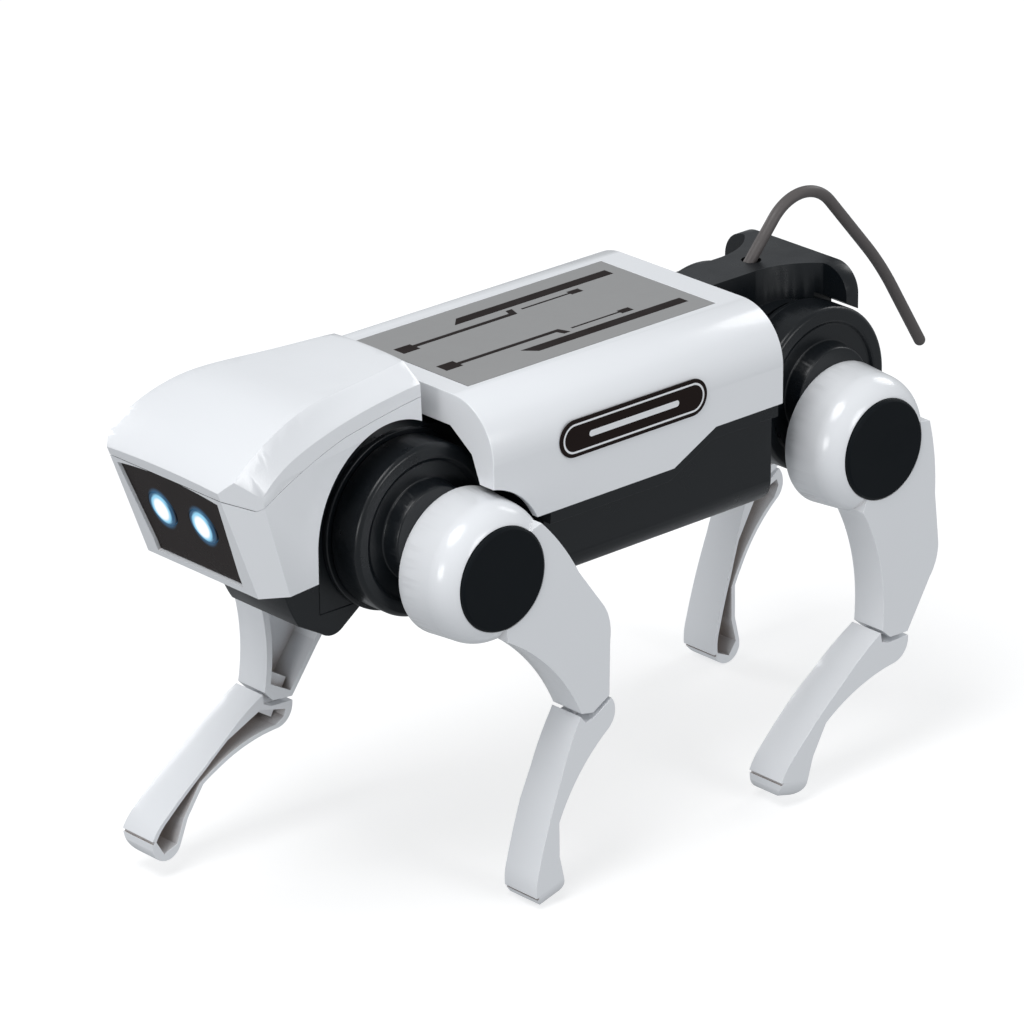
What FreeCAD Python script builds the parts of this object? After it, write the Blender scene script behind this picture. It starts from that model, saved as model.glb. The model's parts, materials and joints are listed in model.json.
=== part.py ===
# Walking robot dog toy, about 224 mm long over the tail, built in millimetres.
#
# The head faces -Y, +Z is up, the dog's left side is +X, and the ground is Z = 0.
# Every leg turns on its own hip axis, parallel to X.  The legs are drawn straight
# at mid swing around a hip axis at the origin, and each leg's Placement then
# turns it to the end of its swing and moves it to its hip.
import FreeCAD, Part
import math
import os
import Sketcher

os.makedirs("parts", exist_ok=True)
doc = FreeCAD.newDocument("robot_dog")
sheet = doc.addObject("Spreadsheet::Sheet", "dims")


class Size:
    """A length together with the sheet expression that gives it."""

    def __init__(self, value, text):
        self.value = value
        self.text = text

    def __add__(self, other):
        other = size(other)
        return Size(self.value + other.value, "(%s + %s)" % (self.text, other.text))

    def __sub__(self, other):
        other = size(other)
        return Size(self.value - other.value, "(%s - %s)" % (self.text, other.text))

    def __mul__(self, other):
        other = size(other)
        return Size(self.value * other.value, "(%s * %s)" % (self.text, other.text))

    def __truediv__(self, other):
        other = size(other)
        return Size(self.value / other.value, "(%s / %s)" % (self.text, other.text))

    def __neg__(self):
        return Size(-self.value, "(-1 * %s)" % self.text)

    __radd__ = __add__
    __rmul__ = __mul__

    def __rsub__(self, other):
        return size(other) - self


def size(number):
    """A plain number becomes a Size with itself as its expression."""
    if isinstance(number, Size):
        return number
    return Size(float(number), "%.6g" % number)


class Sheet:
    """The driving dimensions: an attribute is a Size bound to its cell."""

    def __init__(self):
        self.row = 0

    def add(self, alias, value, note):
        self.row += 1
        sheet.set("A%d" % self.row, alias)
        sheet.set("B%d" % self.row, "%.6g" % value)
        sheet.set("C%d" % self.row, note)
        sheet.setAlias("B%d" % self.row, alias)
        setattr(self, alias, Size(float(value), "dims." + alias))


D = Sheet()
for alias, value, note in (
    # legs and hips
    ("hip_height", 87.0, "hip axis above the ground"),
    ("hip_spacing", 117.0, "front to rear hip axis"),
    ("hip_swing", 15.0, "half of a leg's swing, degrees"),
    ("disc_radius", 19.0, "turning hip disc"),
    ("disc_in", 12.7, "inner face of the hip disc"),
    ("disc_out", 20.8, "outer face of the hip disc"),
    ("disc_step", 16.2, "raised ring on the disc's face"),
    ("hub_radius", 11.2, "hub between disc and leg"),
    ("hub_out", 24.0, "outer face of the hub"),
    ("dome_radius", 16.3, "hip dome of the leg at its inner rim"),
    ("dome_back", 3.7, "dome centre behind the hip axis at mid swing"),
    ("dome_drop", 8.6, "dome centre under the hip axis at mid swing"),
    ("dome_round", 7.0, "rounding between the dome's side and its face"),
    ("leg_in", 29.5, "inner, open face of the leg"),
    ("leg_out", 38.5, "outer face of the leg"),
    ("leg_wall", 1.7, "wall of the hollow leg mouldings"),
    ("cap_radius", 11.5, "black cap in the dome's face"),
    ("cap_deep", 1.3, "thickness of the cap"),
    ("cap_proud", 0.4, "cap above the dome's face"),
    ("foot_reach", 85.05, "centre of the foot's round under the hip axis"),
    ("foot_ahead", 3.3, "that centre in front of the hip axis, at mid swing"),
    ("foot_radius", 4.0, "round of the foot"),
    ("foot_sole", 84.9, "hip axis to the crease above the sole"),
    ("foot_round", 4.6, "round along the foot's outer lower edge"),
    ("foot_flare", 1.2, "the foot is wider than the knee on the inner side"),
    ("front_lead", 5.0, "the front right leg sits further forward on its shaft, degrees"),
    ("shaft_radius", 3.0, "hip shaft"),
    ("shaft_fit", 0.05, "radial play of a shaft in its bore"),
    ("lever_arm", 10.0, "hip axis to the lever's pin"),
    ("lever_in", 3.2, "inner face of the lever"),
    ("lever_out", 5.8, "outer face of the lever"),
    ("pin_radius", 1.5, "lever pin"),
    # body shell
    ("body_half", 31.9, "half width of the upper shell"),
    ("body_top", 114.7, "top of the upper shell"),
    ("body_front", -49.3, "front rim of the upper shell"),
    ("body_rear", 35.0, "rear rim of the upper shell"),
    ("body_corner", 12.6, "round along the top edges"),
    ("wall", 1.8, "wall of the shells"),
    ("edge_low", 87.2, "lower edge of the upper shell, front part"),
    ("edge_high", 93.4, "lower edge of the upper shell, rear part"),
    ("edge_kink", 2.6, "where the lower edge starts to rise"),
    ("edge_kink_end", 15.0, "where the lower edge is level again"),
    ("liner", 23.6, "inner radius of the black liner around the front hip"),
    ("mouth_half", 27.4, "half width of the opening in the shell's front wall"),
    ("mouth_top", 107.4, "top of that opening"),
    ("clear_radius", 17.4, "cut in the shell's lower corner around a hip dome"),
    ("clear_back", 5.8, "that cut's centre behind the front hip axis"),
    ("clear_drop", 7.3, "and under the front hip axis"),
    ("panel_half", 18.1, "half width of the grey back panel"),
    ("panel_front", -43.9, "front edge of the back panel"),
    ("panel_rear", 27.9, "rear edge of the back panel"),
    ("panel_deep", 0.8, "thickness of the back panel"),
    ("trace_deep", 0.15, "depth of the printed traces in the panel"),
    # belly
    ("belly_half", 28.4, "half width of the belly"),
    ("belly_band", 30.4, "half width of the belly's upper band"),
    ("band_drop", 3.4, "height of the band under the shell's edge"),
    ("belly_bottom", 68.5, "underside of the belly"),
    ("belly_round", 6.0, "round along the belly's lower edges"),
    ("belly_cut", 26.6, "round cut-out of the belly beside the front hip"),
    ("door_half", 20.0, "half width of the battery door"),
    ("door_front", -29.0, "front edge of the battery door"),
    ("door_rear", 23.6, "rear edge of the battery door"),
    # frames
    ("frame_half", 11.0, "half width of the front and rear frames"),
    ("frame_in", 9.2, "inner face of the frame walls"),
    ("frame_front", -79.5, "front end of the front frame"),
    ("frame_bottom", 71.0, "underside of the frames"),
    ("frame_top", 105.5, "top of the front frame"),
    ("collar_front", 20.0, "collar behind a front hip disc"),
    ("collar_rear", 18.4, "collar behind a rear hip disc"),
    ("collar_out", 12.4, "outer face of the collars"),
    ("drum_radius", 17.5, "middle drum of the rear hips"),
    ("neck_half", 5.8, "half width of the neck to the tail block"),
    ("tail_top", 112.6, "top of the tail block"),
    ("tail_rear", 70.6, "rear face of the tail block"),
    ("tail_half", 19.2, "half width of the tail block"),
    ("tail_low", 98.0, "underside of the tail block"),
    ("tail_bar", 66.9, "front face of the tail block's cross bar"),
    ("tail_round", 6.4, "round shoulders of the cross bar"),
    ("tail_hole", 56.3, "where the tail leaves the block"),
    ("tail_radius", 1.35, "radius of the tail rod"),
    # head
    ("head_rear", -55.5, "rear end of the head"),
    ("head_top", 121.2, "top of the head between its ridges"),
    ("nose_y", -111.6, "front end of the head's top"),
    ("nose_z", 108.8, "height of that end"),
    ("jaw_y", -101.7, "front end of the head's underside"),
    ("jaw_z", 83.2, "height of the head's underside"),
    ("arch_y", -65.6, "centre of the head's round cut-out over the hips"),
    ("arch_z", 90.1, "height of that centre"),
    ("arch_radius", 22.0, "radius of the cut-out"),
    ("nape_low", 109.6, "where the cut-out meets the head's rear face"),
    ("post_y", -74.0, "post that holds the head"),
    ("post_radius", 3.4, "radius of the post"),
    ("cheek_half", 22.4, "half width of the head at the cheek"),
    ("cheek_y", -104.5, "front end of the side wall at nose height"),
    ("nape_half", 16.7, "half width of the head at its rear end"),
    ("face_half", 17.8, "half width of the head's front face"),
    ("head_wall", 1.6, "wall of the head mouldings"),
    ("seam_gap", 0.15, "open seam between head cover and head shell"),
    ("visor_top", 24.4, "height of the face panel along its slope"),
    ("visor_half", 16.0, "half width of the face panel at the top"),
    ("visor_low", 13.7, "half width of the face panel at the bottom"),
    ("visor_deep", 1.2, "thickness of the face panel"),
    ("visor_sunk", 0.6, "how deep the face panel sits in the bezel"),
    ("eye_radius", 4.1, "eye lens"),
    ("eye_half", 6.55, "eye lens from the middle"),
    ("eye_up", 14.9, "eye lens above the lower edge, along the slope"),
    # drive
    ("bar_in", 6.4, "inner face of a drive bar"),
    ("bar_out", 8.8, "outer face of a drive bar"),
    ("bar_low", 91.2, "underside of a drive bar"),
    ("bar_high", 95.2, "top of a drive bar"),
    ("crank_y", 20.0, "crankshaft, along the body"),
    ("crank_z", 93.2, "crankshaft above the ground"),
    ("crank_gear", 12.0, "output gear, outer radius"),
    ("cluster_y", 5.4, "cluster gear, along the body"),
    ("cluster_z", 100.1, "cluster gear above the ground"),
    ("cluster_gear", 8.6, "cluster gear, outer radius"),
    ("cluster_pinion", 3.9, "small gear of the cluster, outer radius"),
    ("motor_y", -5.9, "motor shaft, along the body"),
    ("motor_z", 103.3, "motor shaft above the ground"),
    ("motor_pinion", 2.9, "motor pinion, outer radius"),
    ("motor_radius", 10.0, "motor can"),
    ("motor_flat", 7.5, "half height of the flattened can"),
    ("motor_long", 21.0, "length of the motor can"),
    ("plate_in", 3.0, "inner face of the gear plates"),
    ("plate_thick", 1.2, "thickness of the gear plates"),
    # power
    ("cell_radius", 7.2, "battery cell"),
    ("cell_half", 12.1, "battery cell from the middle"),
    ("cell_long", 49.0, "battery cell without its button"),
    ("cell_front", -28.0, "front end of the cells"),
):
    D.add(alias, value, note)
doc.recompute()

FRONT = -(D.hip_spacing / 2)
REAR = D.hip_spacing / 2
LEFT = 1
RIGHT = -1
SIDES = {"left": LEFT, "right": RIGHT}
nodes = []


# ---------------------------------------------------------------- tools

def bind(thing, prop, value):
    """Drive one property of a document object from the sheet."""
    thing.setExpression(prop, size(value).text)


def place(thing, x=0, y=0, z=0):
    """Bind the position of an object, keeping its rotation."""
    for axis, value in zip("xyz", (x, y, z)):
        bind(thing, "Placement.Base." + axis, value)


def node(name, thing):
    """Register a finished sub-part under its own name."""
    thing.Label = name
    nodes.append((name, thing))
    return thing


def block(x, y, z):
    """A box between pairs of planes."""
    box = doc.addObject("Part::Box", "block")
    for prop, span in (("Length", x), ("Width", y), ("Height", z)):
        bind(box, prop, size(span[1]) - size(span[0]))
    place(box, x[0], y[0], z[0])
    return box


def rod(axis, radius, span, across):
    """A cylinder along X, Y or Z; across holds its two other coordinates."""
    cylinder = doc.addObject("Part::Cylinder", "rod")
    bind(cylinder, "Radius", radius)
    bind(cylinder, "Height", size(span[1]) - size(span[0]))
    if axis == "x":
        cylinder.Placement.Rotation = FreeCAD.Rotation(FreeCAD.Vector(0, 1, 0), 90)
        place(cylinder, span[0], across[0], across[1])
    elif axis == "y":
        cylinder.Placement.Rotation = FreeCAD.Rotation(FreeCAD.Vector(1, 0, 0), -90)
        place(cylinder, across[0], span[0], across[1])
    else:
        place(cylinder, across[0], across[1], span[0])
    return cylinder


def across_x(side, inner, outer):
    """The X span of something between two planes on the left or right side."""
    if side == LEFT:
        return (size(inner), size(outer))
    return (-size(outer), -size(inner))


def fuse(*things):
    joined = doc.addObject("Part::MultiFuse", "joined")
    joined.Shapes = list(things)
    joined.Refine = True
    return joined


def common(*things):
    shared = doc.addObject("Part::MultiCommon", "shared")
    shared.Shapes = list(things)
    return shared


def cut(base, *tools):
    """The base without all the tools."""
    tool = tools[0] if len(tools) == 1 else fuse(*tools)
    rest = doc.addObject("Part::Cut", "rest")
    rest.Base = base
    rest.Tool = tool
    return rest


def arc_centre(start, end, radius):
    """Centre of the short arc; a positive radius runs anticlockwise."""
    chord = end - start
    left = FreeCAD.Vector(-chord.y, chord.x, 0).normalize()
    reach = math.sqrt(radius * radius - chord.Length ** 2 / 4)
    side = 1 if radius > 0 else -1
    return (start + end) * 0.5 + left * (reach * side)


def draw(sketch, outline):
    """Draw a closed outline in a sketch and tie every corner to the sheet.

    Each corner is (u, v), or (u, v, r) when an arc of signed radius r leads to it.
    """
    corners = [(size(c[0]), size(c[1])) for c in outline]
    ends = []
    for index, corner in enumerate(outline):
        start = FreeCAD.Vector(corners[index - 1][0].value, corners[index - 1][1].value, 0)
        end = FreeCAD.Vector(corners[index][0].value, corners[index][1].value, 0)
        if len(corner) == 2:
            edge = sketch.addGeometry(Part.LineSegment(start, end), False)
            ends.append((edge, 1, 2))
            continue
        radius = size(corner[2])
        centre = arc_centre(start, end, radius.value)
        forward = radius.value > 0
        first, last = (start, end) if forward else (end, start)
        angles = [math.atan2(p.y - centre.y, p.x - centre.x) for p in (first, last)]
        circle = Part.Circle(centre, FreeCAD.Vector(0, 0, 1), abs(radius.value))
        edge = sketch.addGeometry(Part.ArcOfCircle(circle, angles[0], angles[1]), False)
        ends.append((edge, 1, 2) if forward else (edge, 2, 1))
        tie = sketch.addConstraint(Sketcher.Constraint("Radius", edge, abs(radius.value)))
        bind(sketch, "Constraints[%d]" % tie, radius if forward else -radius)
    for index, (edge, first, last) in enumerate(ends):
        follower, start, _ = ends[(index + 1) % len(ends)]
        sketch.addConstraint(Sketcher.Constraint("Coincident", edge, last, follower, start))
        for kind, value in zip(("DistanceX", "DistanceY"), corners[index]):
            tie = sketch.addConstraint(
                Sketcher.Constraint(kind, -1, 1, edge, last, value.value))
            bind(sketch, "Constraints[%d]" % tie, value)


PLANES = {"x": "YZ_Plane", "y": "XZ_Plane", "z": "XY_Plane"}


def new_sketch(body, normal, offset=0):
    """A sketch on one origin plane of its body, moved along the plane's normal."""
    sketch = body.newObject("Sketcher::SketchObject", "outline")
    plane = [f for f in body.Origin.OriginFeatures if f.Role == PLANES[normal]][0]
    sketch.AttachmentSupport = [(plane, "")]
    sketch.MapMode = "FlatFace"
    bind(sketch, "AttachmentOffset.Base.z", offset)
    return sketch


def prism(normal, outline, span):
    """A padded outline: (y, z) for normal x, (x, z) for normal y, (x, y) for z."""
    body = doc.addObject("PartDesign::Body", "prism")
    low, high = size(span[0]), size(span[1])
    start = -high if normal == "y" else low      # an XZ sketch looks along -Y
    sketch = new_sketch(body, normal, start)
    draw(sketch, outline)
    pad = body.newObject("PartDesign::Pad", "pad")
    pad.Profile = sketch
    bind(pad, "Length", high - low)
    body.Tip = pad
    return body


def turned(outline, y=0, z=0):
    """A solid of revolution about a line parallel to X; the outline is (x, radius)."""
    body = doc.addObject("PartDesign::Body", "turned")
    sketch = new_sketch(body, "y")
    draw(sketch, outline)
    spin = body.newObject("PartDesign::Revolution", "spin")
    spin.Profile = sketch
    spin.ReferenceAxis = (sketch, ["H_Axis"])
    spin.Angle = 360
    body.Tip = spin
    place(body, 0, y, z)
    return body


def mirror_outline(outline):
    """The same (x, radius) outline on the right side, in reversed order."""
    flipped = []
    count = len(outline)
    for index in range(count):
        corner = outline[count - 1 - index]
        after = outline[(count - index) % count]
        point = (-size(corner[0]), corner[1])
        flipped.append(point + (after[2],) if len(after) == 3 else point)
    return flipped


def sided(side, outline):
    return outline if side == LEFT else mirror_outline(outline)


def hang(thing, hip_y, swing, angle):
    """Turn a leg piece about the hip axis and move it to its hip."""
    turn_axis = FreeCAD.Vector(swing, 0, 0)
    thing.Placement = FreeCAD.Placement(
        FreeCAD.Vector(0, hip_y.value, D.hip_height.value),
        FreeCAD.Rotation(turn_axis, angle.value))
    place(thing, 0, hip_y, D.hip_height)
    bind(thing, "Placement.Rotation.Angle", angle)
    return thing


# ---------------------------------------------------------------- legs

def thigh(side):
    """Hip dome and upper leg, hollow and open on the inner side."""
    skin = [
        (1.0, -23.0), (15.3, -50.4, -50.0), (18.3, -51.9), (23.6, -50.6), (27.2, -38.2),
        (27.7, -30.0, 12.0), (23.2, -18.5), (16.6, -2.0, 60.0), (3.0, -3.0),
    ]
    hollow = [
        (5.4, -25.4), (16.4, -48.4, -50.0), (22.7, -49.4), (26.2, -37.8), (26.4, -30.4),
        (22.0, -20.0), (11.5, -17.0),
    ]
    tongue = [(17.4, -46.0), (16.3, -55.2), (21.0, -56.2), (22.4, -47.0)]
    blank = prism("x", skin, across_x(side, D.leg_in, D.leg_out))
    face_corner = D.dome_radius - 0.6 - D.dome_round
    dome = turned(sided(side, [
        (D.hub_out, 0), (D.leg_out, 0), (D.leg_out, face_corner),
        (D.leg_out - D.dome_round, D.dome_radius - 0.6, D.dome_round),
        (D.hub_out, D.dome_radius),
    ]), D.dome_back, -D.dome_drop)
    pocket = prism("x", hollow, across_x(side, D.leg_in - 1, D.leg_out - D.leg_wall))
    plug = prism("x", tongue, across_x(side, D.leg_in + 2.2, D.leg_in + 4.4))
    seat = rod("x", D.cap_radius + 0.1,
               across_x(side, D.leg_out - D.cap_deep + D.cap_proud, D.leg_out + 1),
               (D.dome_back, -D.dome_drop))
    bore = rod("x", D.shaft_radius + D.shaft_fit, across_x(side, D.hub_out - 1, 33.0), (0, 0))
    return cut(fuse(cut(fuse(blank, dome), pocket), plug), seat, bore)


def shin(side):
    """Lower leg from the knee to the foot, hollow and open on the inner side."""
    sole, radius = D.foot_sole, D.foot_radius
    middle, centre = -D.foot_ahead, -D.foot_reach
    low = centre - radius
    skin = [
        (-7.6, -sole), (-5.6, -79.6, -14.0), (6.2, -61.6, -150.0), (14.9, -50.9, -60.0),
        (15.8, -53.0), (18.2, -53.2), (24.0, -51.5), (24.3, -54.3, -5.0), (21.2, -58.0, -5.0),
        (2.9, -71.3, 44.0), (0.9, -79.0), (middle + radius, centre), (middle, low, -radius),
        (middle - radius * 0.866, centre - radius * 0.5, -radius),
    ]
    hollow = [
        (-6.4, -sole), (-4.5, -79.7, -13.0), (7.2, -61.4, -150.0), (15.0, -54.4),
        (22.5, -53.6), (22.5, -55.2), (20.4, -57.3), (1.7, -71.3, 44.0), (-0.3, -79.2),
        (-0.4, centre), (middle, low + 1.6),
    ]
    inner = D.leg_in - D.foot_flare
    high = -48.0
    front_view = prism("y", sided(side, [
        (D.leg_out, high), (D.leg_in, high), (D.leg_in, -52.0), (inner, -68.0), (inner, low),
        (D.leg_out - D.foot_round, low), (D.leg_out, low + D.foot_round, D.foot_round),
    ]), (-20, 40))
    blank = common(prism("x", skin, across_x(side, inner, D.leg_out)), front_view)
    pocket = prism("x", hollow, across_x(side, inner - 1, D.leg_out - D.leg_wall))
    mouth = prism("x", [(17.2, -45.0), (16.0, -55.5), (21.3, -56.6), (22.7, -46.0)],
                  across_x(side, D.leg_in + 1.9, D.leg_in + 4.7))
    crease = block(across_x(side, inner - 1, D.leg_out + 1), (-9, -6.9), (-sole - 0.6, -sole))
    return cut(blank, pocket, mouth, crease)


def cap(side):
    """Flat black cap pressed into the dome's face."""
    under = D.leg_out - D.cap_deep + D.cap_proud
    face = D.leg_out + D.cap_proud
    plate = turned(sided(side, [
        (under, 0), (face, 0), (face, D.cap_radius - 0.5), (face - 0.5, D.cap_radius),
        (under, D.cap_radius),
    ]), D.dome_back, -D.dome_drop)
    peg = rod("x", 2.0, across_x(side, under - 0.1, under + 0.5), (D.dome_back, -D.dome_drop))
    return fuse(plate, peg)


def disc(side):
    """Black hip disc with a raised ring and the hub that carries the leg."""
    ring_face = D.disc_out - 0.8
    edge = 0.7
    profile = [
        (D.disc_in, 0), (D.hub_out, 0), (D.hub_out, D.hub_radius - 0.6),
        (ring_face, D.hub_radius), (ring_face, D.disc_step - 1.2),
        (D.disc_out, D.disc_step - 0.4), (D.disc_out, D.disc_radius - edge),
        (D.disc_out - edge, D.disc_radius), (D.disc_in, D.disc_radius),
    ]
    wheel = turned(sided(side, profile))
    bore = rod("x", D.shaft_radius, across_x(side, D.disc_in - 1, D.hub_out + 1), (0, 0))
    return cut(wheel, bore)


def shaft(side, pin_up):
    """Hip shaft with the lever and pin that the drive bar pushes."""
    reach = D.lever_arm if pin_up else -D.lever_arm
    half = D.pin_radius + 1.2
    root = D.shaft_radius + 1.4
    axle = rod("x", D.shaft_radius, across_x(side, D.lever_in, 32.5), (0, 0))
    boss = rod("x", root, across_x(side, D.lever_in, D.lever_out), (0, 0))
    eye = rod("x", half, across_x(side, D.lever_in, D.lever_out), (0, reach))
    corners = [(-half, 0), (half, 0), (half, reach), (-half, reach)]
    web = prism("x", corners, across_x(side, D.lever_in, D.lever_out))
    pin = rod("x", D.pin_radius, across_x(side, D.lever_in, D.bar_out), (0, reach))
    return fuse(axle, boss, eye, web, pin)


# A leg at the rear end of its swing turns by +1 swing, at the front end by -1; the
# last value is how far it is set round on its shaft.
LEGS = (("front_left", LEFT, FRONT, 1, 0), ("front_right", RIGHT, FRONT, -1, D.front_lead),
        ("rear_left", LEFT, REAR, -1, 0), ("rear_right", RIGHT, REAR, 1, 0))


def legs():
    for name, side, hip_y, swing, lead in LEGS:
        moulded = (("thigh", thigh(side)), ("shin", shin(side)), ("cap", cap(side)))
        for piece, thing in moulded:
            node(piece + "_" + name, hang(thing, hip_y, swing, D.hip_swing + lead))
        turning = (("hip_disc", disc(side)), ("hip_shaft", shaft(side, hip_y is FRONT)))
        for piece, thing in turning:
            node(piece + "_" + name, hang(thing, hip_y, swing, D.hip_swing))


# ---------------------------------------------------------------- body

def arch(half, top, corner, low):
    """Round-shouldered cross-section of the body, as an (x, z) outline."""
    return [
        (half, low), (half, top - corner), (half - corner, top, corner),
        (corner - half, top), (-half, top - corner, corner), (-half, low),
    ]


def edge_cut(lift=0):
    """Everything under the shell's stepped lower edge, right across the body."""
    low = D.edge_low + lift
    high = D.edge_high + lift
    wide = D.body_half + 4
    back = D.body_rear + 4
    front = D.body_front - 14
    floor = D.belly_bottom - 4
    return prism("x", [(front, floor), (back, floor), (back, high), (D.edge_kink_end, high),
                       (D.edge_kink, low), (front, low)], (-wide, wide))


def hip_drum(radius, half, y=FRONT):
    return rod("x", radius, (-half, half), (y, D.hip_height))


def upper_shell():
    span = (D.body_front, D.body_rear)
    outside = prism("y", arch(D.body_half, D.body_top, D.body_corner, D.belly_bottom), span)
    inside = prism("y", arch(D.body_half - D.wall, D.body_top - D.wall,
                             D.body_corner - D.wall, D.belly_bottom - 1),
                   (D.body_front + D.wall, D.body_rear + 1))
    seat = block((-D.panel_half, D.panel_half), (D.panel_front, D.panel_rear),
                 (D.body_top - D.panel_deep, D.body_top + 1))
    half, top = D.mouth_half, D.mouth_top
    right_rim = [(half, D.belly_bottom), (half, top - 10.4), (half - 2.4, top - 4.6),
                 (half - 9, top)]
    left_rim = [(-x, z) for x, z in reversed(right_rim)]
    mouth = prism("y", right_rim + left_rim, (D.body_front - 1, D.body_front + D.wall + 1))
    dome_room = rod("x", D.clear_radius, (-D.body_half - 1, D.body_half + 1),
                    (FRONT + D.clear_back, D.hip_height - D.clear_drop))
    node("upper_shell", cut(outside, inside, edge_cut(), dome_room, seat, mouth))


def belly_shell():
    """Black tray under the shell, with a wider band along its upper edge."""
    round_low = [
        (D.belly_half, D.body_top - 8), (-D.belly_half, D.body_top - 8),
        (-D.belly_half, D.belly_bottom + D.belly_round),
        (D.belly_round - D.belly_half, D.belly_bottom, D.belly_round),
        (D.belly_half - D.belly_round, D.belly_bottom),
        (D.belly_half, D.belly_bottom + D.belly_round, D.belly_round),
    ]
    length = (D.body_front, D.body_rear)
    tub = prism("y", round_low, length)
    band = cut(block((-D.belly_band, D.belly_band), length, (D.belly_bottom, D.body_top - 8)),
               edge_cut(-D.band_drop))
    above = cut(block((-40, 40), (-70, 50), (60, 130)), edge_cut(-0.1))
    inner_half = D.belly_half - D.wall
    hollow = block((-inner_half, inner_half), (D.body_front - 1, D.body_rear - D.wall),
                   (D.belly_bottom + D.wall, D.body_top))
    solid = cut(fuse(tub, band), above, hollow, hip_drum(D.belly_cut, 40))
    front_wall = common(cut(hip_drum(D.belly_cut + D.wall, 40), hip_drum(D.belly_cut, 41)),
                        cut(prism("y", round_low, length), above))
    passage = block((-D.frame_half, D.frame_half), (D.body_front - 1, -28),
                    (D.frame_bottom, D.body_top))
    rear_gate = block((-D.frame_half, D.frame_half), (D.body_rear - 3, D.body_rear + 1),
                      (D.frame_bottom, D.body_top))
    hatch = block((-D.door_half, D.door_half), (D.door_front, D.door_rear),
                  (D.belly_bottom - 1, D.belly_bottom + D.wall + 1))
    screw_hole = rod("z", 1.3, (D.belly_bottom - 1, D.belly_bottom + 8), (0, D.door_front - 4))
    slot = block((12.5, 21.5), (27.2, 30.0), (D.belly_bottom - 1, D.belly_bottom + 3))
    node("belly_shell", cut(fuse(solid, front_wall), passage, rear_gate, hatch, screw_hole, slot))


def battery_door():
    play = 0.2
    lid = block((play - D.door_half, D.door_half - play),
                (D.door_front + play, D.door_rear - play),
                (D.belly_bottom, D.belly_bottom + D.wall - 0.2))
    grips = [block((-8, 8), (D.door_rear - 4 - 2 * k, D.door_rear - 3 - 2 * k),
                   (D.belly_bottom - 0.5, D.belly_bottom + 0.5)) for k in range(3)]
    tab = cut(block((-4, 4), (D.door_front - 6.8, D.door_front + 1),
                    (D.belly_bottom - 0.9, D.belly_bottom - 0.05)),
              rod("z", 1.35, (D.belly_bottom - 2, D.belly_bottom + 1), (0, D.door_front - 4)))
    root = block((-4, 4), (D.door_front + play, D.door_front + 3),
                 (D.belly_bottom - 0.9, D.belly_bottom + 0.5))
    node("battery_door", fuse(lid, tab, root, *grips))


def trace_shapes():
    """Outlines of the printed traces on the left half of the panel, as (x, y)."""
    bar = [(10.4, -22.0), (13.2, -19.2), (13.2, 24.4), (10.4, 24.4)]
    pad = [(5.1, -41.2), (8.5, -41.2), (8.5, -36.6), (5.1, -36.6)]
    line = [(6.4, -36.8), (7.6, -36.8), (7.6, -8.0), (6.4, -8.0)]
    step = [(6.4, -9.4), (9.3, -8.4), (9.3, -6.6), (6.4, -7.6)]
    thin = [(7.6, -5.0), (8.15, -5.0), (8.15, 9.2), (7.6, 9.2)]
    end = [(7.0, 9.0), (8.9, 9.0), (8.9, 12.3), (7.0, 12.3)]
    return bar, pad, line, step, thin, end


def back_panel():
    """Grey panel with its printed traces set flush into it."""
    depth = (D.body_top - D.trace_deep, D.body_top)
    pieces = [prism("z", [(x * side, y) for x, y in outline], depth)
              for side in SIDES.values() for outline in trace_shapes()]
    traces = node("panel_traces", fuse(*pieces))
    plate = block((0.1 - D.panel_half, D.panel_half - 0.1),
                  (D.panel_front + 0.1, D.panel_rear - 0.1),
                  (D.body_top - D.panel_deep, D.body_top))
    node("back_panel", cut(plate, traces))


def badges():
    """Blank oval badge on each side wall of the shell."""
    thick = 0.4
    height = 4.2
    for name, side in SIDES.items():
        span = across_x(side, D.body_half, D.body_half + thick)
        front, rear, level = -26.6, 7.6, 102.2
        ends = [rod("x", height, span, (y, level)) for y in (front, rear)]
        middle = block(span, (front, rear), (level - height, level + height))
        node("badge_" + name, fuse(middle, *ends))


# ---------------------------------------------------------------- frames

def shaft_bores(y):
    return rod("x", D.shaft_radius + D.shaft_fit, (-15, 15), (y, D.hip_height))


def front_frame():
    """Channel that carries the front hips and closes the body's front opening."""
    rear = -30.0
    skin = 1.6
    outside = block((-D.frame_half, D.frame_half), (D.frame_front, rear),
                    (D.frame_bottom, D.frame_top))
    inside = block((-D.frame_in, D.frame_in), (D.frame_front + skin, rear + 1),
                   (D.frame_bottom + skin, D.frame_top - skin))
    post = rod("z", D.post_radius, (D.frame_top - 0.5, D.head_top - 3.2), (0, D.post_y))
    half = D.body_half - D.wall - 0.1
    wing = cut(hip_drum(D.liner + 2, half), hip_drum(D.liner, half + 1))
    behind = block((-half, half), (D.body_front + D.wall + 0.1, rear),
                   (D.edge_low + 0.2, D.body_top - D.wall - 0.2))
    rounded = prism("y", arch(half, D.body_top - D.wall - 0.1, D.body_corner - D.wall,
                              D.edge_low + 0.2), (D.body_front, rear))
    node("front_frame", cut(fuse(outside, post, common(wing, behind, rounded)), inside,
                            shaft_bores(FRONT)))


def chin_guard():
    profile = [
        (-90.0, D.jaw_z), (-85.2, 69.9, 30.0), (-79.0, 66.4),
        (-73.0, 66.4, 4.6), (-66.5, D.frame_bottom), (D.frame_front, D.frame_bottom),
        (D.frame_front, D.jaw_z),
    ]
    node("chin_guard", prism("x", profile, (-D.frame_half, D.frame_half)))


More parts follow.
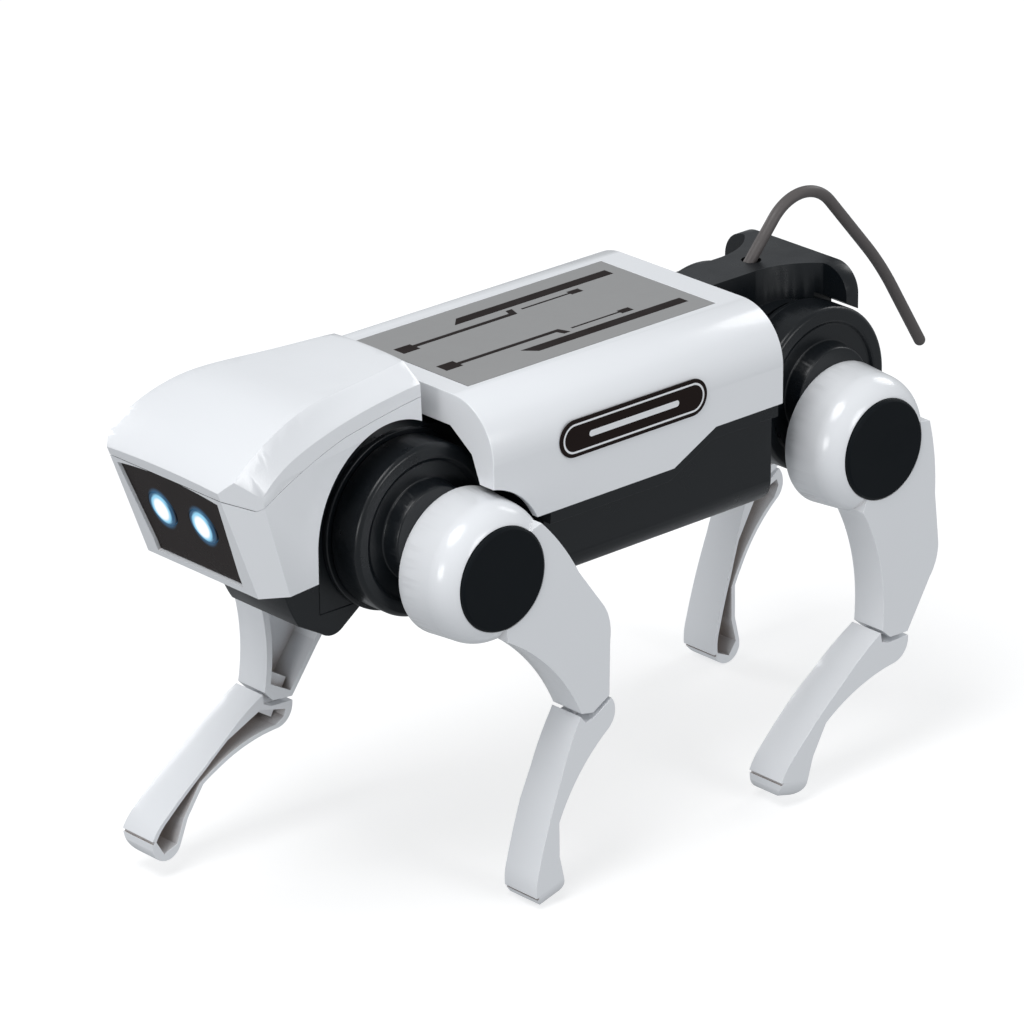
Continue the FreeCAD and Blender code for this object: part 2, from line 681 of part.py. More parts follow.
def collars():
    """Fixed collars between the frames and the turning discs."""
    for end, hip_y, radius in (("front", FRONT, D.collar_front), ("rear", REAR, D.collar_rear)):
        for name, side in SIDES.items():
            span = across_x(side, D.frame_half, D.collar_out)
            ring = cut(rod("x", radius, span, (hip_y, D.hip_height)),
                       rod("x", D.shaft_radius + D.shaft_fit,
                           across_x(side, D.frame_half - 1, D.collar_out + 1),
                           (hip_y, D.hip_height)))
            node("collar_%s_%s" % (end, name), ring)


def rear_frame():
    """Rear hip drum, the neck over it and the tail block."""
    drum = hip_drum(D.drum_radius, D.frame_in + 0.2, REAR)
    flange = hip_drum(D.drum_radius - 1.6, D.frame_half, REAR)
    link = block((-D.frame_half, D.frame_half), (D.body_rear - 2.7, 48.0), (D.frame_bottom, 99.0))
    half = D.body_half - D.wall - 0.2
    bulkhead = prism("y", arch(half, D.body_top - D.wall - 0.1, D.body_corner - D.wall,
                               D.edge_high + 0.2), (D.body_rear - 2.8, D.body_rear - 1.2))
    bar, half = D.tail_bar, D.tail_half
    plan = prism("z", [
        (-D.neck_half, D.body_rear - 2), (D.neck_half, D.body_rear - 2), (D.neck_half, 52.0),
        (half - 6.8, bar - 0.5, -19.0), (half, bar), (half, D.tail_rear), (-half, D.tail_rear),
        (-half, bar), (6.8 - half, bar - 0.5), (-D.neck_half, 52.0, -19.0),
    ], (D.tail_low, D.tail_top))
    shoulders = prism("y", arch(half, D.tail_top, D.tail_round, D.tail_low),
                      (D.body_rear - 3, D.tail_rear + 1))
    room = cut(hip_drum(D.disc_radius + 0.8, 40, REAR),
               hip_drum(D.disc_radius + 1, D.frame_half - 0.1, REAR))
    tee = cut(common(plan, shoulders), room)
    cavity = hip_drum(15.2, D.frame_in, REAR)
    window = block((-D.frame_in, D.frame_in), (D.body_rear - 6, REAR), (72.8, 99.0 - 1.8))
    socket = rod("z", D.tail_radius + 0.9, (D.tail_top - 1.2, D.tail_top + 1), (0, D.tail_hole))
    solid = fuse(drum, flange, link, bulkhead, tee)
    node("rear_frame", cut(solid, cavity, window, socket, shaft_bores(REAR), tail("bore", 0.0)))


def tail(name, play):
    """Bent rod: straight out of the block, over a tight bend, then a long fall."""
    route = [FreeCAD.Vector(0, y, z) for y, z in
             ((53.6, 109.6), (71.9, 130.6), (97.0, 101.4), (110.2, 79.6))]
    bends = (11.6, 90.0)
    edges = []
    start = route[0]
    for corner, after, radius in zip(route[1:], route[2:], bends):
        coming = (corner - start).normalize()
        going = (after - corner).normalize()
        turn = coming.getAngle(going)
        back = radius * math.tan(turn / 2)
        enter = corner - coming * back
        leave = corner + going * back
        middle = corner + (going - coming).normalize() * (radius / math.cos(turn / 2) - radius)
        edges.append(Part.makeLine(start, enter))
        edges.append(Part.Arc(enter, middle, leave).toShape())
        start = leave
    edges.append(Part.makeLine(start, route[-1]))
    spine = Part.Wire(edges)
    radius = D.tail_radius.value + play
    ring = Part.Wire(Part.makeCircle(radius, route[0], route[1] - route[0]))
    solid = spine.makePipeShell([ring], True, False)
    thing = doc.addObject("Part::Feature", "tail_" + name)
    thing.Shape = solid
    print("tail length %.1f, volume %.1f of %.1f" % (
        spine.Length, solid.Volume, math.pi * radius ** 2 * spine.Length))
    return thing


def tail_rod():
    tip = doc.addObject("Part::Sphere", "tip")
    bind(tip, "Radius", D.tail_radius)
    place(tip, 0, 110.2, 79.6)
    node("tail_rod", fuse(tail("rod", 0.0), tip))


# ---------------------------------------------------------------- head

def head_profile(inset):
    """Side view of the head as (y, z), open towards the top."""
    lean = (D.jaw_y.value - D.nose_y.value) / (D.nose_z.value - D.jaw_z.value)
    sky = 134
    radius = D.arch_radius + inset
    step = inset * 1.1
    return [
        (D.jaw_y + step, D.jaw_z + inset), (D.arch_y - radius, D.jaw_z + inset),
        (D.arch_y - radius, D.arch_z), (D.head_rear, D.nape_low + inset, -radius),
        (D.head_rear, sky), (D.jaw_y + step - lean * (sky - D.jaw_z.value), sky),
    ]


# Sections of the head's roof: y, half width and height of the ridge, half width and
# height of the side under it, rise of the crown between the ridges.
ROOF = (
    (-115.0, 20.3, 104.2, 23.6, 96.5, 1.2), (-107.6, 19.9, 113.1, 22.9, 104.0, 1.2),
    (-101.0, 19.2, 117.0, 22.0, 109.5, 1.0), (-92.0, 17.6, 120.1, 20.9, 113.2, 0.7),
    (-82.0, 15.6, 121.1, 19.7, 115.4, 0.4), (-69.0, 13.3, 121.2, 18.2, 117.0, 0.3),
    (-50.0, 9.6, 121.2, 16.1, 117.5, 0.3),
)


def roof(inset):
    """Chamfered roof of the head, lofted through its sections with a slight crown."""
    rings = []
    inset = size(inset).value
    floor = 60
    for y, ridge, ridge_z, half, side_z, crown in ROOF:
        ridge, half = ridge - inset, half - inset
        corners = [FreeCAD.Vector(x, y, z) for x, z in (
            (ridge, ridge_z - inset), (half, side_z - inset), (half, floor), (-half, floor),
            (-half, side_z - inset), (-ridge, ridge_z - inset))]
        edges = [Part.makeLine(a, b) for a, b in zip(corners, corners[1:])]
        middle = FreeCAD.Vector(0, y, ridge_z - inset + crown)
        edges.append(Part.Arc(corners[-1], middle, corners[0]).toShape())
        rings.append(Part.Wire(edges))
    thing = doc.addObject("Part::Feature", "roof")
    thing.Shape = Part.makeLoft(rings, True, False)
    return thing


def head_mass(inset):
    """Solid head shape, pulled in by the inset on every side."""
    sides = prism("x", head_profile(inset), (-40, 40))
    deep = 60
    rise = 16
    lag = rise * (D.jaw_y - D.nose_y) / (D.nose_z - D.jaw_z)
    front, rear = D.nose_y, size(-30.0)
    taper = (D.cheek_half - D.nape_half) / (D.head_rear - D.cheek_y)
    nape = D.nape_half - taper * (rear - D.head_rear) - inset
    plan = [
        (nape, rear), (D.cheek_half - inset, D.cheek_y), (D.face_half - inset, front + inset),
        (inset - D.face_half, front + inset), (inset - D.cheek_half, D.cheek_y), (-nape, rear),
    ]
    stack = doc.addObject("Part::Extrusion", "plan")
    carrier = doc.addObject("PartDesign::Body", "plan_body")
    sketch = new_sketch(carrier, "z", D.nose_z + rise)
    draw(sketch, [(x, y - lag) for x, y in plan])
    stack.Base = sketch
    stack.DirMode = "Custom"
    lean = FreeCAD.Vector(0, D.jaw_y.value - D.nose_y.value, D.jaw_z.value - D.nose_z.value)
    stack.Dir = lean.normalize()
    stack.LengthFwd = deep
    stack.Solid = True
    return common(sides, stack, roof(inset))


def seam_cut(offset):
    """Everything above the seam between head cover and head shell."""
    front = D.nose_y - 6
    return prism("x", [
        (front, 110.4 + offset), (D.cheek_y, 104.5 + offset), (-79.0, 113.0 + offset, -110.0),
        (-45.0, 115.4 + offset, -300.0), (-45.0, 140), (front, 140),
    ], (-41, 41))


def visor_body(half_grow, low, high, holes):
    """Face panel shape in the plane of the sloping face."""
    top = D.visor_top + half_grow
    wide = D.visor_half + half_grow
    foot = D.visor_low + half_grow
    base = 1.7 - half_grow
    outline = [(-foot, base), (foot, base), (foot, 4.6), (wide, top), (-wide, top, 90.0),
               (-foot, 4.6)]
    plate = prism("y", outline, (low, high))
    if holes:
        plate = cut(plate, *[rod("y", D.eye_radius + 0.1, (low - 1, high + 1), (x, D.eye_up))
                             for x in (D.eye_half, -D.eye_half)])
    return lean_back(plate)


def lean_back(thing):
    """Tilt a piece drawn upright into the plane of the sloping face."""
    angle = math.degrees(math.atan2(D.jaw_y.value - D.nose_y.value,
                                    D.nose_z.value - D.jaw_z.value))
    thing.Placement = FreeCAD.Placement(
        FreeCAD.Vector(0, D.jaw_y.value, D.jaw_z.value),
        FreeCAD.Rotation(FreeCAD.Vector(1, 0, 0), angle))
    place(thing, 0, D.jaw_y, D.jaw_z)
    return thing


def head():
    recess = visor_body(0.1, -3, 6, False)
    below = seam_cut(-D.seam_gap)
    post_hole = rod("z", D.post_radius + 0.1, (D.arch_z, D.head_top), (0, D.post_y))
    node("head_cover", cut(common(head_mass(0), seam_cut(0)), head_mass(D.head_wall), recess))
    shell = cut(head_mass(0), below)
    node("head_shell", cut(shell, head_mass(D.head_wall), recess, post_hole))
    node("face_panel", visor_body(0, D.visor_sunk, D.visor_sunk + D.visor_deep, True))
    for name, side in SIDES.items():
        spot = (D.eye_half * side, D.eye_up)
        lens = rod("y", D.eye_radius, (D.visor_sunk - 0.1, D.visor_sunk + 2.4), spot)
        crown = rod("y", D.eye_radius - 0.8, (D.visor_sunk - 0.3, D.visor_sunk), spot)
        node("eye_" + name, lean_back(fuse(lens, crown)))
    board = prism("y", [(-11, 8), (11, 8), (11, 21.5), (-11, 21.5)],
                  (D.visor_sunk + 2.5, D.visor_sunk + 4.1))
    node("led_board", lean_back(board))


# ---------------------------------------------------------------- drive

def drive_bars():
    """Bars that tie the front and rear hip levers of one side together."""
    throw = D.lever_arm.value * math.sin(math.radians(D.hip_swing.value))
    slot_half = D.pin_radius + 0.2
    for name, side in SIDES.items():
        shift = -throw * side
        span = across_x(side, D.bar_in, D.bar_out)
        wide = across_x(side, D.bar_in - 1, D.bar_out + 1)
        front, rear = FRONT + shift, REAR + shift
        crank = D.crank_y + shift
        beam = block(span, (front - 4, 50.5 + shift), (D.bar_low, D.bar_high))
        head_plate = block(span, (front - 4, front + 4), (D.bar_low, 101.0))
        crank_plate = block(span, (crank - 4, crank + 4), (D.crank_z - 5.6, D.crank_z + 5.6))
        drop = block(span, (46.5 + shift, 50.5 + shift), (73.4, D.bar_high))
        foot = block(span, (46.5 + shift, rear + 4), (73.4, 81.0))
        slots = []
        for y, z, reach in ((front, D.hip_height + D.lever_arm, 1.0),
                            (rear, D.hip_height - D.lever_arm, 1.0)):
            slots.append(block(wide, (y - slot_half, y + slot_half), (z - reach - 1, z + reach + 1)))
        slots.append(block(wide, (crank - 1.5, crank + 1.5), (D.crank_z - 4.2, D.crank_z + 4.2)))
        node("drive_bar_" + name, cut(fuse(beam, head_plate, crank_plate, drop, foot), *slots))


def gear(teeth, radius, span, y, z):
    """Spur gear with straight-sided teeth, its bore left to the caller."""
    depth = radius * 2.0 / (teeth + 2) * 2.0
    outline = []
    for tooth in range(teeth):
        middle = 2 * math.pi * tooth / teeth
        for turn, reach in ((-0.32, radius - depth), (-0.15, radius), (0.15, radius),
                            (0.32, radius - depth)):
            angle = middle + turn * 2 * math.pi / teeth
            outline.append((y + reach * math.cos(angle), z + reach * math.sin(angle)))
    wire = Part.makePolygon([FreeCAD.Vector(span[0], a, b) for a, b in outline + outline[:1]])
    thing = doc.addObject("Part::Feature", "gear")
    thing.Shape = Part.Face(wire).extrude(FreeCAD.Vector(span[1] - span[0], 0, 0))
    return thing


def drive():
    """Motor, cluster gear and crankshaft between two plates."""
    crank = (D.crank_y, D.crank_z)
    cluster = (D.cluster_y, D.cluster_z)
    motor = (D.motor_y, D.motor_z)
    outer = D.plate_in + D.plate_thick
    wheel = gear(32, D.crank_gear.value, (-2.2, 0.2), crank[0].value, crank[1].value)
    axle = rod("x", 1.5, (-4.6, 4.6), crank)
    throw = D.lever_arm.value * math.sin(math.radians(D.hip_swing.value))
    cheeks = [rod("x", 4.9, across_x(side, 4.5, 5.9), crank) for side in SIDES.values()]
    pins = [rod("x", 1.2, across_x(side, 5.8, 6.1), (D.crank_y - throw * side, D.crank_z))
            for side in SIDES.values()]
    node("crankshaft", fuse(wheel, axle, *(cheeks + pins)))
    big = gear(24, D.cluster_gear.value, (0.6, 2.2), cluster[0].value, cluster[1].value)
    small = gear(10, D.cluster_pinion.value, (-2.2, 0.7), cluster[0].value, cluster[1].value)
    node("cluster_gear", fuse(big, small, rod("x", 1.0, (-outer, outer), cluster)))
    pinion = gear(8, D.motor_pinion.value, (0.6, 2.2), motor[0].value, motor[1].value)
    node("motor_pinion", fuse(pinion, rod("x", 1.0, (-8, 2.4), motor)))
    can = common(rod("x", D.motor_radius, (-outer - D.motor_long, -outer), motor),
                 block((-40, 0), (D.motor_y - 11, D.motor_y + 11),
                       (D.motor_z - D.motor_flat, D.motor_z + D.motor_flat)))
    node("motor_can", cut(can, rod("x", 1.05, (-8.1, 0), motor)))
    for name, side in SIDES.items():
        span = across_x(side, D.plate_in, outer)
        wide = across_x(side, D.plate_in - 1, outer + 1)
        face = block(span, (-16.0, 30.0), (86.0, 110.0))
        foot = block(span, (24.6, 30.0), (D.belly_bottom + D.wall, 87.0))
        holes = [rod("x", 1.55, wide, crank), rod("x", 1.05, wide, cluster)]
        if side == RIGHT:
            holes.append(rod("x", 1.1, wide, motor))
        node("gear_plate_" + name, cut(fuse(face, foot), *holes))


def power():
    """Two cells, their contact plates, the power switch and the door screw."""
    level = D.belly_bottom + D.wall + D.cell_radius + 0.1
    rear = D.cell_front + D.cell_long
    for name, side in SIDES.items():
        middle = (D.cell_half * side, level)
        cell = rod("y", D.cell_radius, (D.cell_front, rear), middle)
        button = rod("y", 2.7, (rear, rear + 1.2), middle)
        node("cell_" + name, fuse(cell, button))
    low = D.belly_bottom + D.wall
    node("switch_body", cut(block((11.5, 22.5), (25.6, 31.6), (low, low + 6)),
                            block((12.8, 21.2), (27.4, 29.8), (low - 1, low + 3))))
    node("switch_slider", fuse(block((13.6, 16.6), (27.6, 29.6), (D.belly_bottom - 1.4, low + 2)),
                               block((13.3, 17.0), (27.5, 29.7), (low + 0.4, low + 2.4))))
    node("door_screw", fuse(
        rod("z", 2.4, (D.belly_bottom - 2.0, D.belly_bottom - 0.95), (0, D.door_front - 4)),
        rod("z", 1.2, (D.belly_bottom - 1.0, D.belly_bottom + 2.3), (0, D.door_front - 4))))


# ---------------------------------------------------------------- build

def check_and_write():
    doc.recompute()
    for thing in doc.Objects:
        if "Invalid" in thing.State or "Error" in thing.State:
            raise RuntimeError("%s (%s) failed" % (thing.Name, thing.Label))
    for name, thing in nodes:
        shape = thing.Shape
        if shape.isNull() or not shape.isValid() or not shape.Solids:
            raise RuntimeError("%s has no valid shape" % name)
        print("%-24s %8.1f mm3  solids %d" % (name, shape.Volume, len(shape.Solids)))
        shape.exportStep("parts/%s.step" % name)


legs()
upper_shell()
belly_shell()
battery_door()
back_panel()
badges()
front_frame()
chin_guard()
collars()
rear_frame()
tail_rod()
head()
drive_bars()
drive()
power()
check_and_write()
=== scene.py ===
# Looks of the walking robot dog toy: materials, printed film, lens glow and soft edges.
# Everything is in metres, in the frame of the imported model: head towards -Y, +Z up.
import bpy
import json
import math
from mathutils import Matrix, Vector


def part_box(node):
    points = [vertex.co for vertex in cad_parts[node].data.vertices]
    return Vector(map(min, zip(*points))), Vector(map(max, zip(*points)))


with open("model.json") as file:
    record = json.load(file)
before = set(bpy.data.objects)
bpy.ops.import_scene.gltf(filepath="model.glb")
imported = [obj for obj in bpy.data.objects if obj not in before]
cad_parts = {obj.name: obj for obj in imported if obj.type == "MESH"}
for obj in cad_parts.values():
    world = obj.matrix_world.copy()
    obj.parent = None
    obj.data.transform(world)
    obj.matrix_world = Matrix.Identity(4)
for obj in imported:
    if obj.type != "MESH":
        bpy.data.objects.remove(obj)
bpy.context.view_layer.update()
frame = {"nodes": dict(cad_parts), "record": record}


# ---------------------------------------------------------------- camera and studio

CAMERA_AZIMUTH = math.radians(47.845)
CAMERA_ELEVATION = math.radians(22.477)
CAMERA_ROLL = math.radians(-0.424)
CAMERA_DISTANCE = 1.3375
CAMERA_TARGET = Vector((0.0177, -0.0314, 0.0826))
CAMERA_NEAR = 0.05
SENSOR_MM = 36.0
LENS_MM = 222.05

SKY_COLOUR = (0.93, 0.965, 1.0, 1.0)
SKY_STRENGTH = 0.42
LIT_POINT = (0.0, 0.0, 0.07)
LIGHTS = (  # name, place, diameter, watts
    ("key", (0.1, -0.45, 0.9), 0.55, 4.2),
    ("left", (1.0, 0.15, 0.40), 0.45, 2.4),
    ("right", (-1.0, -0.15, 0.45), 0.45, 2.0),
    ("back", (-0.1, 0.9, 0.6), 0.45, 1.5),
    ("front", (0.25, -1.1, 0.22), 0.4, 2.2),
)
FLOOR_REACH = 6.0
PAPER = {"Base Color": (0.55, 0.55, 0.55, 1.0), "Roughness": 0.9, "Specular IOR Level": 0.0,
         "Emission Color": (1.0, 1.0, 1.0, 1.0), "Emission Strength": 0.58}


def place_in_scene(name, data):
    """A new object for the data, linked into the scene."""
    thing = bpy.data.objects.new(name, data)
    bpy.context.scene.collection.objects.link(thing)
    return thing


def aim_camera():
    """A long lens in front of the dog's left shoulder, looking slightly down."""
    flat = math.cos(CAMERA_ELEVATION)
    back = Vector((math.sin(CAMERA_AZIMUTH) * flat, -math.cos(CAMERA_AZIMUTH) * flat,
                   math.sin(CAMERA_ELEVATION)))
    across = Vector((0, 0, 1)).cross(back).normalized()
    up = back.cross(across)
    right = across * math.cos(CAMERA_ROLL) + up * math.sin(CAMERA_ROLL)
    top = up * math.cos(CAMERA_ROLL) - across * math.sin(CAMERA_ROLL)
    turn = Matrix((right, top, back)).transposed().to_4x4()
    data = bpy.data.cameras.new("view")
    data.sensor_width = SENSOR_MM
    data.lens = LENS_MM
    data.clip_start = CAMERA_NEAR
    camera = place_in_scene("view", data)
    camera.matrix_world = Matrix.Translation(CAMERA_TARGET + back * CAMERA_DISTANCE) @ turn
    bpy.context.scene.camera = camera


def area_light(name, place, size, power):
    """A round soft light that faces the middle of the dog."""
    data = bpy.data.lights.new(name, "AREA")
    data.shape = "DISK"
    data.size = size
    data.energy = power
    light = place_in_scene(name, data)
    light.location = place
    towards = Vector(LIT_POINT) - Vector(place)
    light.rotation_euler = towards.to_track_quat("-Z", "Y").to_euler()


def lay_floor():
    """A pale floor that stays near white under the dog and adds no light of its own to it."""
    corners = [(x * FLOOR_REACH, y * FLOOR_REACH, 0) for x, y in ((-1, -1), (1, -1), (1, 1), (-1, 1))]
    mesh = bpy.data.meshes.new("floor")
    mesh.from_pydata(corners, [], [(0, 1, 2, 3)])
    floor = place_in_scene("floor", mesh)
    paper = bpy.data.materials.new("paper")
    paper.use_nodes = True
    shader = paper.node_tree.nodes["Principled BSDF"]
    for socket, value in PAPER.items():
        shader.inputs[socket].default_value = value
    mesh.materials.append(paper)
    floor.visible_diffuse = False
    floor.visible_glossy = False


def studio():
    """Soft even sky, five soft lights and the floor."""
    bpy.context.scene.view_settings.view_transform = "Standard"
    world = bpy.data.worlds.new("studio")
    bpy.context.scene.world = world
    world.use_nodes = True
    backdrop = world.node_tree.nodes["Background"]
    backdrop.inputs["Color"].default_value = SKY_COLOUR
    backdrop.inputs["Strength"].default_value = SKY_STRENGTH
    for row in LIGHTS:
        area_light(*row)
    lay_floor()


# ---------------------------------------------------------------- materials

class Recipe:
    """A Principled material under construction, with short helpers for its nodes."""

    def __init__(self, name, colour, roughness, **sockets):
        self.name = name
        self.material = bpy.data.materials.new(name)
        self.material.use_nodes = True
        self.tree = self.material.node_tree
        self.shader = self.tree.nodes["Principled BSDF"]
        self.place = self.tree.nodes.new("ShaderNodeTexCoord").outputs["Object"]
        self.colour = colour
        self.set("Base Color", (*colour, 1.0))
        self.set("Roughness", roughness)
        for socket, value in sockets.items():
            self.set(socket.replace("_", " "), value)

    def set(self, socket, value):
        self.shader.inputs[socket].default_value = value

    def join(self, output, socket):
        self.tree.links.new(output, socket)

    def noise(self, scale, detail):
        node = self.tree.nodes.new("ShaderNodeTexNoise")
        node.inputs["Scale"].default_value = scale
        node.inputs["Detail"].default_value = detail
        self.join(self.place, node.inputs["Vector"])
        return node.outputs["Fac"]

    def spread(self, factor, low, high, start=0.3, end=0.7):
        """Maps the factor's range from start to end onto low to high."""
        node = self.tree.nodes.new("ShaderNodeMapRange")
        node.inputs["From Min"].default_value = start
        node.inputs["From Max"].default_value = end
        node.inputs["To Min"].default_value = low
        node.inputs["To Max"].default_value = high
        self.join(factor, node.inputs["Value"])
        return node.outputs["Result"]

    def maths(self, operation, *values):
        """One Math node. Each value is a number or another node's output."""
        node = self.tree.nodes.new("ShaderNodeMath")
        node.operation = operation
        for socket, value in zip(node.inputs, values):
            if isinstance(value, float):
                socket.default_value = value
            else:
                self.join(value, socket)
        return node.outputs["Value"]

    def length_of(self, across, up):
        """Length of the flat vector with these two parts."""
        squares = [self.maths("MULTIPLY", part, part) for part in (across, up)]
        return self.maths("SQRT", self.maths("ADD", *squares))

    def mix_base(self, factor, first=None, second=None):
        """Base colour runs from first to second. The one left out is what the base colour was."""
        base = self.shader.inputs["Base Color"]
        node = self.tree.nodes.new("ShaderNodeMix")
        node.data_type = "RGBA"
        for socket, colour in (("A", first), ("B", second)):
            if colour is None:
                self.join(base.links[0].from_socket, node.inputs[socket])
            else:
                node.inputs[socket].default_value = (*colour, 1.0)
        self.join(factor, node.inputs["Factor"])
        self.join(node.outputs["Result"], base)

    def tint(self, factor, dark, light):
        """Colour runs between two shades of the base colour."""
        self.mix_base(factor, [c * dark for c in self.colour],
                      [min(1.0, c * light) for c in self.colour])

    def paint_hollow_shade(self, shade, near, closed, clear):
        """Painted shade: an ambient-occlusion mask within the piece itself darkens the base colour
        towards the shade in its hollows, creases and gaps. Its open faces keep their colour.
        """
        hollow = self.tree.nodes.new("ShaderNodeAmbientOcclusion")
        hollow.only_local = True
        hollow.samples = 6
        hollow.inputs["Distance"].default_value = near
        self.mix_base(self.spread(hollow.outputs["AO"], 0.0, 1.0, closed, clear), first=shade)

    def gloss(self, factor, low, high):
        self.join(self.spread(factor, low, high), self.shader.inputs["Roughness"])

    def bump(self, factor, depth, strength):
        node = self.tree.nodes.new("ShaderNodeBump")
        node.inputs["Distance"].default_value = depth
        node.inputs["Strength"].default_value = strength
        self.join(factor, node.inputs["Height"])
        self.join(node.outputs["Normal"], self.shader.inputs["Normal"])


FLOW_SCALE, FLOW_DETAIL, FLOW_DARK, FLOW_LIGHT = 28.0, 2.0, 0.97, 1.02
SHEEN_SCALE, SHEEN_DETAIL = 140.0, 4.0
GRAIN_DETAIL, GRAIN_STRENGTH = 2.0, 0.5


def moulded(name, colour, smooth, rough, grain, depth, **sockets):
    """Injection-moulded plastic: faint flow shading, uneven gloss and a fine grain."""
    recipe = Recipe(name, colour, (smooth + rough) / 2, **sockets)
    recipe.tint(recipe.noise(FLOW_SCALE, FLOW_DETAIL), FLOW_DARK, FLOW_LIGHT)
    recipe.gloss(recipe.noise(SHEEN_SCALE, SHEEN_DETAIL), smooth, rough)
    recipe.bump(recipe.noise(grain, GRAIN_DETAIL), depth, GRAIN_STRENGTH)
    return recipe


FACE_LEAN = math.radians(21.1)
OVAL_ROLL = math.radians(12.0)
OVAL_WIDE, OVAL_TALL, OVAL_DEEP = 0.0025, 0.0034, 1.0
GLOW_REACH = 2.0
GLOW_STOPS = (  # share of the reach, colour
    (0.0, (1.0, 1.0, 1.0)),
    (0.36, (0.96, 0.99, 1.0)),
    (0.50, (0.30, 0.66, 0.90)),
    (0.64, (0.03, 0.10, 0.19)),
    (0.86, (0.0, 0.0, 0.0)),
)


def centre_of(node):
    low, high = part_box(node)
    return [(a + b) / 2 for a, b in zip(low, high)]


def eye_light(recipe):
    """Two upright ovals of white light with a blue rim, on the dark face that leans forward."""
    rings = []
    for eye in ("eye_left", "eye_right"):
        placed = recipe.tree.nodes.new("ShaderNodeMapping")
        placed.vector_type = "TEXTURE"
        placed.inputs["Location"].default_value = centre_of(eye)
        placed.inputs["Rotation"].default_value = (FACE_LEAN, OVAL_ROLL, 0.0)
        placed.inputs["Scale"].default_value = (OVAL_WIDE, OVAL_DEEP, OVAL_TALL)
        recipe.join(recipe.place, placed.inputs["Vector"])
        length = recipe.tree.nodes.new("ShaderNodeVectorMath")
        length.operation = "LENGTH"
        recipe.join(placed.outputs["Vector"], length.inputs[0])
        rings.append(length.outputs["Value"])
    nearest = recipe.maths("MINIMUM", *rings)
    ramp = recipe.tree.nodes.new("ShaderNodeValToRGB")
    ramp.color_ramp.interpolation = "EASE"
    while len(ramp.color_ramp.elements) < len(GLOW_STOPS):
        ramp.color_ramp.elements.new(1.0)
    for element, (share, colour) in zip(ramp.color_ramp.elements, GLOW_STOPS):
        element.position = share
        element.color = (*colour, 1.0)
    recipe.join(recipe.spread(nearest, 0.0, 1.0, 0.0, GLOW_REACH), ramp.inputs["Fac"])
    recipe.join(ramp.outputs["Color"], recipe.shader.inputs["Emission Color"])
    recipe.set("Emission Strength", 1.0)


LINE_AT, LINE_HALF = 0.74, 0.055  # shares of the badge's half height
BAR_LONG, BAR_HALF = 0.72, 0.17  # shares of its straight half length and of its half height


def pin_line(recipe, badge, pale):
    """A pale line that runs round the badge just inside its edge, and a short bar in its middle."""
    low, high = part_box(badge)
    centre = centre_of(badge)
    tall = (high[2] - low[2]) / 2
    straight = (high[1] - low[1]) / 2 - tall
    split = recipe.tree.nodes.new("ShaderNodeSeparateXYZ")
    recipe.join(recipe.place, split.inputs["Vector"])
    along = recipe.maths("ABSOLUTE", recipe.maths("SUBTRACT", split.outputs["Y"], centre[1]))
    up = recipe.maths("SUBTRACT", split.outputs["Z"], centre[2])

    def reach(half):
        """Distance from the badge's middle line, which runs this far each way."""
        beyond = recipe.maths("MAXIMUM", recipe.maths("SUBTRACT", along, half), 0.0)
        return recipe.length_of(beyond, up)

    off_line = recipe.maths("ABSOLUTE", recipe.maths("SUBTRACT", reach(straight), tall * LINE_AT))
    line = recipe.maths("LESS_THAN", off_line, tall * LINE_HALF)
    bar = recipe.maths("LESS_THAN", reach(straight * BAR_LONG), tall * BAR_HALF)
    recipe.mix_base(recipe.maths("MAXIMUM", line, bar), second=pale)


PRINT = (0.010, 0.0045, 0.0035)
DULL = {"Specular_IOR_Level": 0.12}


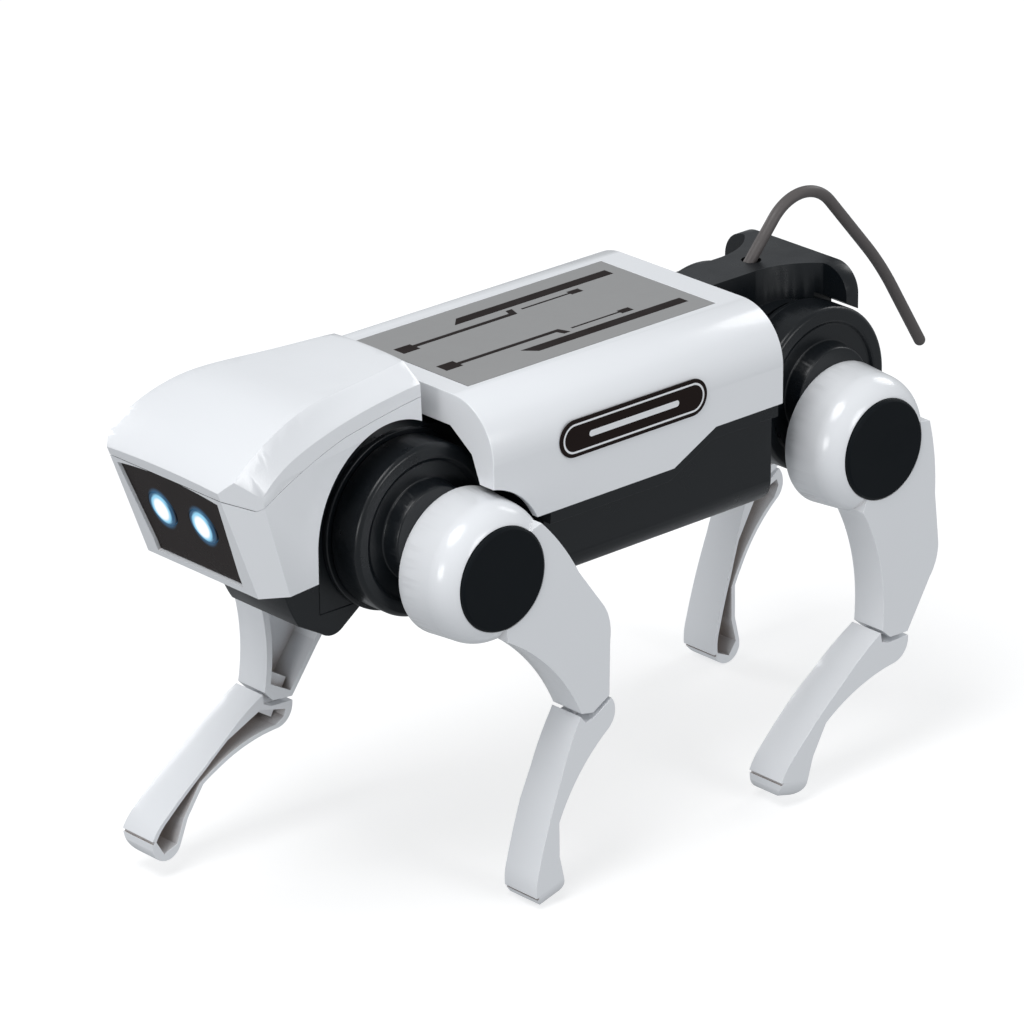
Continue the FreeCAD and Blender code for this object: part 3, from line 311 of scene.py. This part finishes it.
def make_materials():
    """The record's material slots. After name and colour: roughness range, grain scale and depth."""
    white = moulded("white_gloss", (0.83, 0.845, 0.87), 0.17, 0.25, 2600.0, 0.00002,
                    Coat_Weight=0.25, Coat_Roughness=0.08)
    # Painted shade: the white plastic darkens towards brown-grey in its own hollows, creases and
    # gaps.
    white.paint_hollow_shade(shade=(0.40, 0.35, 0.325), near=0.007, closed=0.30, clear=0.72)
    badge = moulded("badge_ink", PRINT, 0.34, 0.46, 5200.0, 0.00002, **DULL)
    pin_line(badge, "badge_left", pale=(0.80, 0.81, 0.83))
    face = moulded("face_ink", PRINT, 0.22, 0.32, 3000.0, 0.00001, **DULL)
    glow = moulded("eye_glow", PRINT, 0.12, 0.18, 3000.0, 0.00001, **DULL)
    for recipe in (face, glow):
        eye_light(recipe)
    recipes = (
        white, badge, face, glow,
        moulded("black_satin", (0.0050, 0.0068, 0.0088), 0.26, 0.36, 5200.0, 0.00003,
                Specular_IOR_Level=0.42),
        moulded("black_matte", (0.0038, 0.0058, 0.0078), 0.46, 0.58, 6200.0, 0.00005, **DULL),
        moulded("panel_grey", (0.30, 0.30, 0.30), 0.42, 0.52, 5200.0, 0.00002,
                Specular_IOR_Level=0.3),
        moulded("trace_ink", PRINT, 0.38, 0.50, 5200.0, 0.00002, **DULL),
        moulded("tail_grey", (0.095, 0.085, 0.083), 0.42, 0.60, 3600.0, 0.00005),
        moulded("nylon", (0.76, 0.75, 0.70), 0.35, 0.48, 3000.0, 0.00003),
        moulded("steel", (0.55, 0.55, 0.56), 0.22, 0.36, 2600.0, 0.00002, Metallic=1.0),
        moulded("board_green", (0.03, 0.16, 0.07), 0.30, 0.42, 1800.0, 0.00004),
        moulded("cell_wrap", (0.03, 0.06, 0.16), 0.20, 0.30, 1400.0, 0.00002),
    )
    return {recipe.name: recipe.material for recipe in recipes}


# ---------------------------------------------------------------- CAD nodes

WELD_DISTANCE = 0.000005
FLAT_ANGLE = math.radians(0.6)
EDGE_ANGLE = math.radians(32.0)
EDGE_SEGMENTS = 3
EDGE_WIDTH = 0.0003
EDGE_WIDTHS = {  # nodes whose names start so, where they differ from EDGE_WIDTH
    "thigh": 0.0014, "shin": 0.0012, "upper_shell": 0.0005, "head_cover": 0.0006,
    "head_shell": 0.0005, "hip_disc": 0.00035, "rear_frame": 0.0005, "cap": 0.0002,
    "panel_traces": 0.0, "badge": 0.00008,
}


def soften(piece, width):
    """Rounds the crisp edges of a node with modifiers only; its mesh stays as it is."""
    weld = piece.modifiers.new("weld", "WELD")
    weld.merge_threshold = WELD_DISTANCE
    flat = piece.modifiers.new("flat", "DECIMATE")
    flat.decimate_type = "DISSOLVE"
    flat.angle_limit = FLAT_ANGLE
    bevel = piece.modifiers.new("bevel", "BEVEL")
    bevel.width = width
    bevel.segments = EDGE_SEGMENTS
    bevel.limit_method = "ANGLE"
    bevel.angle_limit = EDGE_ANGLE
    bevel.harden_normals = True
    bevel.use_clamp_overlap = True


def dress(materials):
    """Gives every CAD node the material of its slot, and soft edges unless it is printed film."""
    for part in frame["record"]["subparts"]:
        name = part["node"]
        piece = frame["nodes"][name]
        piece.data.materials.clear()
        piece.data.materials.append(materials[part["material_slot"]])
        width = EDGE_WIDTH
        for start, wide in EDGE_WIDTHS.items():
            if name.startswith(start):
                width = wide
        if width > 0:
            soften(piece, width)


aim_camera()
studio()
dress(make_materials())
